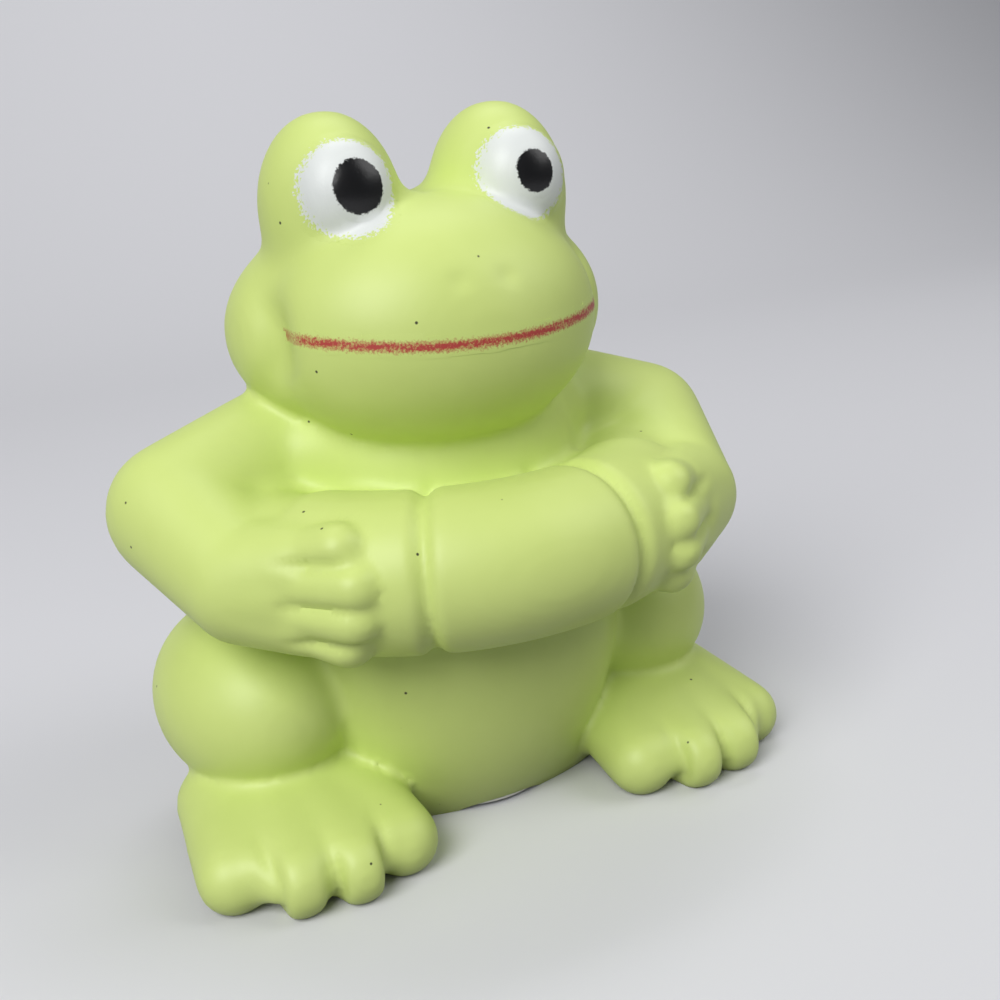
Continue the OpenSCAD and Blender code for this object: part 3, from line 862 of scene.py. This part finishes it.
def matt_paper():
    """Matt paper, pale where it is seen, that throws little light back up on the toy"""
    material, output = new_material("matt_paper")
    tree = material.node_tree
    finish = settings().finish
    path = node(tree, "ShaderNodeLightPath")
    seen = node(tree, "ShaderNodeMath", {"operation": "ADD"}, {
        0: path.outputs["Is Camera Ray"], 1: path.outputs["Is Glossy Ray"]})
    seen = node(tree, "ShaderNodeMath", {"operation": "ADD", "use_clamp": True}, {
        0: seen.outputs["Value"], 1: path.outputs["Is Transmission Ray"]})
    tone = node(tree, "ShaderNodeMix", {"data_type": "RGBA"}, {
        "Factor": seen.outputs["Value"], MIX_A: rgba(finish.floor_bounce), MIX_B: rgba(finish.floor)})
    shader = node(tree, "ShaderNodeBsdfPrincipled", {}, {
        "Base Color": tone.outputs[MIX_RESULT], "Roughness": 0.9})
    tree.links.new(shader.outputs["BSDF"], output.inputs["Surface"])
    return material


def dress(obj, material):
    """Gives an object one material"""
    obj.data.materials.clear()
    obj.data.materials.append(material)


# Paint films

# Part of a film's margin over which its rim rises out of the skin
RIM_PART = 0.5
# Depth of points that take no paint because they face another way, in millimetres
FACING_AWAY = -99.0
# Least that an eye's skin has to face where it looks, and most that the mouth's skin may face back
EYE_FACING = 0.05
MOUTH_FACING = 0.3
# How blunt the ends of the mouth line are
MOUTH_TAPER = 0.5


def film(shell, name, inside, rise, reach):
    """A film of paint: the shell's faces within reach of the painted area, lifted off its skin

    inside gives each point's depth in the painted area, in millimetres, negative outside it.
    """
    depth = inside(points_of(shell), normals_of(shell))
    pick(shell)
    bpy.ops.object.mode_set(mode="EDIT")
    bpy.ops.mesh.select_mode(type="FACE")
    bpy.ops.mesh.select_all(action="DESELECT")
    bpy.ops.object.mode_set(mode="OBJECT")
    near = depth > -reach / MM
    for face in shell.data.polygons:
        face.select = all(near[v] for v in face.vertices)
    bpy.ops.object.mode_set(mode="EDIT")
    bpy.ops.mesh.duplicate()
    bpy.ops.mesh.separate(type="SELECTED")
    bpy.ops.object.mode_set(mode="OBJECT")
    piece = next(o for o in bpy.context.selected_objects if o != shell)
    piece.name = name
    piece.data.name = name
    depth = inside(points_of(piece), normals_of(piece))
    fade = np.clip((depth * MM + reach) / (RIM_PART * reach), 0, 1)
    # The rim lies half a rise under the skin, and the rest a full rise over it
    lift = rise * (3 * fade - 1) / 2
    move_points(piece, points_of(piece) + normals_of(piece) * lift[:, None])
    mark = piece.data.attributes.new("inside", "FLOAT", "POINT")
    mark.data.foreach_set("value", depth.astype(np.float32))
    applied(piece, "SOLIDIFY", thickness=2 * rise, offset=-1)
    bpy.ops.object.shade_smooth_by_angle(angle=FILM_EDGE)
    return piece


def eye_area(side, width, height, shift=0.0):
    """Depth in the ellipse of an eye or a pupil, in millimetres"""
    middle, look = eye_frame(side)
    middle = middle + Vector((shift, 0, 0))
    up = Vector((0, math.sin(settings().head.eye_tilt), math.cos(settings().head.eye_tilt)))

    def inside(points, normals):
        away = points - np.array(middle)
        across, rise = away[:, 0], away @ np.array(up)
        ring = np.hypot(across / (width / 2), rise / (height / 2))
        depth = (1 - ring) * (width + height) / 4 / MM
        front = (normals @ np.array(look) > EYE_FACING) & (away @ np.array(look) > 0)
        return np.where(front, depth, FACING_AWAY)
    return inside


def mouth_area():
    """Depth in the mouth line, in millimetres"""
    paint = settings().paint
    middle = muzzle_middle() - Vector((0, 0, paint.mouth_down))

    def inside(points, normals):
        away = points - np.array(middle)
        height = away[:, 2] - away[:, 1] * math.tan(paint.mouth_tilt)
        height -= paint.mouth_smile * (away[:, 0] / (paint.mouth_width / 2)) ** 2
        ends = (paint.mouth_width / 2 - np.abs(away[:, 0])) * MOUTH_TAPER
        depth = np.minimum(paint.mouth_line / 2 - np.abs(height), ends) / MM
        front = (away[:, 1] < 0) & (normals[:, 1] < MOUTH_FACING)
        return np.where(front, depth, FACING_AWAY)
    return inside


# Operators

class BATHTOY_OT_frog(bpy.types.Operator):
    """Model the vinyl frog and let it stand for the CAD moulding"""
    bl_idname = "bathtoy.frog"
    bl_label = "Frog"

    def execute(self, context):
        pieces = [make_head(), *make_eye_domes(), make_trunk(), *make_hands(), make_feet()]
        frog = melted(pieces, TIGHT_SKIN, FROG_ROUNDS)
        frog.name = "frog"
        frog.data.name = "frog"
        for depths in (ring_grooves, face_dimples, toe_notches, finger_grooves):
            press(frog, depths(points_of(frog)))
        softened(frog, GROOVE_ROUNDS)
        cut_base(frog)
        bore_base(frog)
        pick(frog)
        bpy.ops.object.shade_smooth_by_angle(angle=FROG_EDGE)
        dress(frog, soft_vinyl())
        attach(frog, "toy")
        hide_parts("body_shell")
        return {"FINISHED"}


class BATHTOY_OT_eyes(bpy.types.Operator):
    """Spray the whites and the pupils on the eye domes"""
    bl_idname = "bathtoy.eyes"
    bl_label = "Eyes"

    def execute(self, context):
        paint, finish = settings().paint, settings().finish
        frog = bpy.data.objects["frog"]
        white = sprayed("sprayed_white_enamel", None, finish.white,
                        roughness=0.42, grit_mm=0.3, ragged_mm=1.1, soft_mm=0.05)
        black = sprayed("sprayed_black_gloss", finish.white, finish.black,
                        roughness=0.28, grit_mm=0.25, ragged_mm=0.3, soft_mm=0.06)
        for side, name, pupil in ((1, "left", paint.left_pupil), (-1, "right", 1.0)):
            area = eye_area(side, paint.white_width, paint.white_height, paint.white_side)
            patch = film(frog, "eye_white_film_" + name, area, paint.film, paint.margin)
            dress(patch, white)
            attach(patch, "face")
            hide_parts("eye_white_" + name)
            area = eye_area(side, pupil * paint.pupil_width, pupil * paint.pupil_height)
            patch = film(frog, "pupil_film_" + name, area, 2 * paint.film, paint.margin)
            dress(patch, black)
            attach(patch, "face")
            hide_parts("pupil_" + name)
        return {"FINISHED"}


class BATHTOY_OT_mouth(bpy.types.Operator):
    """Spray the mouth line on the muzzle"""
    bl_idname = "bathtoy.mouth"
    bl_label = "Mouth"

    def execute(self, context):
        paint, finish = settings().paint, settings().finish
        frog = bpy.data.objects["frog"]
        red = sprayed("sprayed_red_enamel", None, finish.red,
                      roughness=0.48, grit_mm=0.22, ragged_mm=0.55, soft_mm=0.22)
        line = film(frog, "mouth_film", mouth_area(), paint.film, paint.margin)
        dress(line, red)
        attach(line, "face")
        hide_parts("mouth_paint")
        return {"FINISHED"}


class BATHTOY_OT_squeaker(bpy.types.Operator):
    """Give the squeaker in the base its plastic"""
    bl_idname = "bathtoy.squeaker"
    bl_label = "Squeaker"

    def execute(self, context):
        plastic = moulded_plastic()
        for name in ("squeaker_cup", "reed_block", "reed_clamp"):
            dress(frame["nodes"][name], plastic)
        dress(frame["nodes"]["reed"], reed_film())
        return {"FINISHED"}


class BATHTOY_OT_soften(bpy.types.Operator):
    """Give the frog and its paint films meshes of their own"""
    bl_idname = "bathtoy.soften"
    bl_label = "Softness"

    def execute(self, context):
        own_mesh(bpy.data.objects["frog"])
        for obj in bpy.data.objects:
            if "_film" in obj.name:
                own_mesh(obj)
        return {"FINISHED"}


# Lamps: name, place and target in metres, side of the square lamp, and power in watts
LAMPS = (
    ("key", (-0.40, -0.34, 0.46), (0, 0, 0.035), 0.40, 3.9),
    ("fill", (0.42, -0.26, 0.45), (0, 0, 0.035), 0.40, 1.1),
    ("backdrop", (0.2, 0.35, 0.9), (0.2, 1.0, 0.3), 0.60, 4.4),
)
# Slightly cool light from all round
SKY = (0.92, 0.95, 1.0, 1.0)
SKY_STRENGTH = 0.17
# Floor: its side, where it starts to rise behind the toy, and how steeply
FLOOR_SIDE = 4.0
SWEEP_START = 0.35
SWEEP_RISE = 0.9


class BATHTOY_OT_stage(bpy.types.Operator):
    """Set up the floor, the light and the camera"""
    bl_idname = "bathtoy.stage"
    bl_label = "Stage"

    def execute(self, context):
        scene = context.scene
        deselect()
        bpy.ops.mesh.primitive_grid_add(x_subdivisions=8, y_subdivisions=80, size=FLOOR_SIDE)
        floor = context.object
        floor.name = "floor"
        sweep = points_of(floor)
        sweep[:, 2] = SWEEP_RISE * np.clip(sweep[:, 1] - SWEEP_START, 0, None) ** 2
        move_points(floor, sweep)
        pick(floor)
        bpy.ops.object.shade_smooth()
        dress(floor, matt_paper())
        world = bpy.data.worlds.new("studio")
        world.use_nodes = True
        background = world.node_tree.nodes["Background"]
        background.inputs["Color"].default_value = SKY
        background.inputs["Strength"].default_value = SKY_STRENGTH
        scene.world = world
        for name, place, target, size, power in LAMPS:
            lamp = bpy.data.lights.new(name, "AREA")
            lamp.size = size
            lamp.energy = power
            holder = bpy.data.objects.new(name, lamp)
            holder.location = place
            aim = Vector(target) - Vector(place)
            holder.rotation_euler = aim.to_track_quat("-Z", "Y").to_euler()
            scene.collection.objects.link(holder)
        scene.camera = photo_camera(scene)
        scene.view_settings.view_transform = "Standard"
        return {"FINISHED"}


# The camera's sensor in millimetres, and the nearest that it sees
SENSOR_WIDTH = 36
CLIP_START = 5 * MM


def photo_camera(scene):
    """A camera at the photograph's angle, rolled and turned as it was held"""
    view = settings().view
    back = Vector((math.sin(view.azimuth) * math.cos(view.elevation),
                   -math.cos(view.azimuth) * math.cos(view.elevation),
                   math.sin(view.elevation)))
    right = (-back).cross(Vector((0, 0, 1))).normalized()
    up = right.cross(-back)
    level = Matrix((right, up, back)).transposed()
    turn = (Matrix.Rotation(view.roll, 3, "Z") @ Matrix.Rotation(-view.pan, 3, "Y")
            @ Matrix.Rotation(-view.tilt, 3, "X"))
    lens = bpy.data.cameras.new("photo_camera")
    lens.sensor_width = SENSOR_WIDTH
    lens.lens = lens.sensor_width * view.focal
    lens.clip_start = CLIP_START
    camera = bpy.data.objects.new("photo_camera", lens)
    place = Vector((0, 0, view.target)) + back * view.distance
    camera.matrix_world = Matrix.Translation(place) @ (level @ turn).to_4x4()
    scene.collection.objects.link(camera)
    return camera


OPERATORS = (BATHTOY_OT_frog, BATHTOY_OT_eyes, BATHTOY_OT_mouth, BATHTOY_OT_squeaker,
             BATHTOY_OT_soften, BATHTOY_OT_stage)


class BATHTOY_PT_panel(bpy.types.Panel):
    """The toy's pieces in the order that they are made"""
    bl_idname = "BATHTOY_PT_panel"
    bl_label = "Bath Toy"
    bl_space_type = "VIEW_3D"
    bl_region_type = "UI"
    bl_category = "Bath Toy"

    def draw(self, context):
        for operator in OPERATORS:
            self.layout.operator(operator.bl_idname)


CLASSES = (HeadSizes, BodySizes, LimbSizes, PaintSizes, Finish, View, BathToy,
           *OPERATORS, BATHTOY_PT_panel)


def register():
    for cls in CLASSES:
        bpy.utils.register_class(cls)
    bpy.types.Scene.bath_toy = bpy.props.PointerProperty(type=BathToy)


def unregister():
    del bpy.types.Scene.bath_toy
    for cls in reversed(CLASSES):
        bpy.utils.unregister_class(cls)


def main():
    register()
    for name in ("frog", "eyes", "mouth", "squeaker", "soften", "stage"):
        getattr(bpy.ops.bathtoy, name)()


if __name__ == "__main__":
    main()
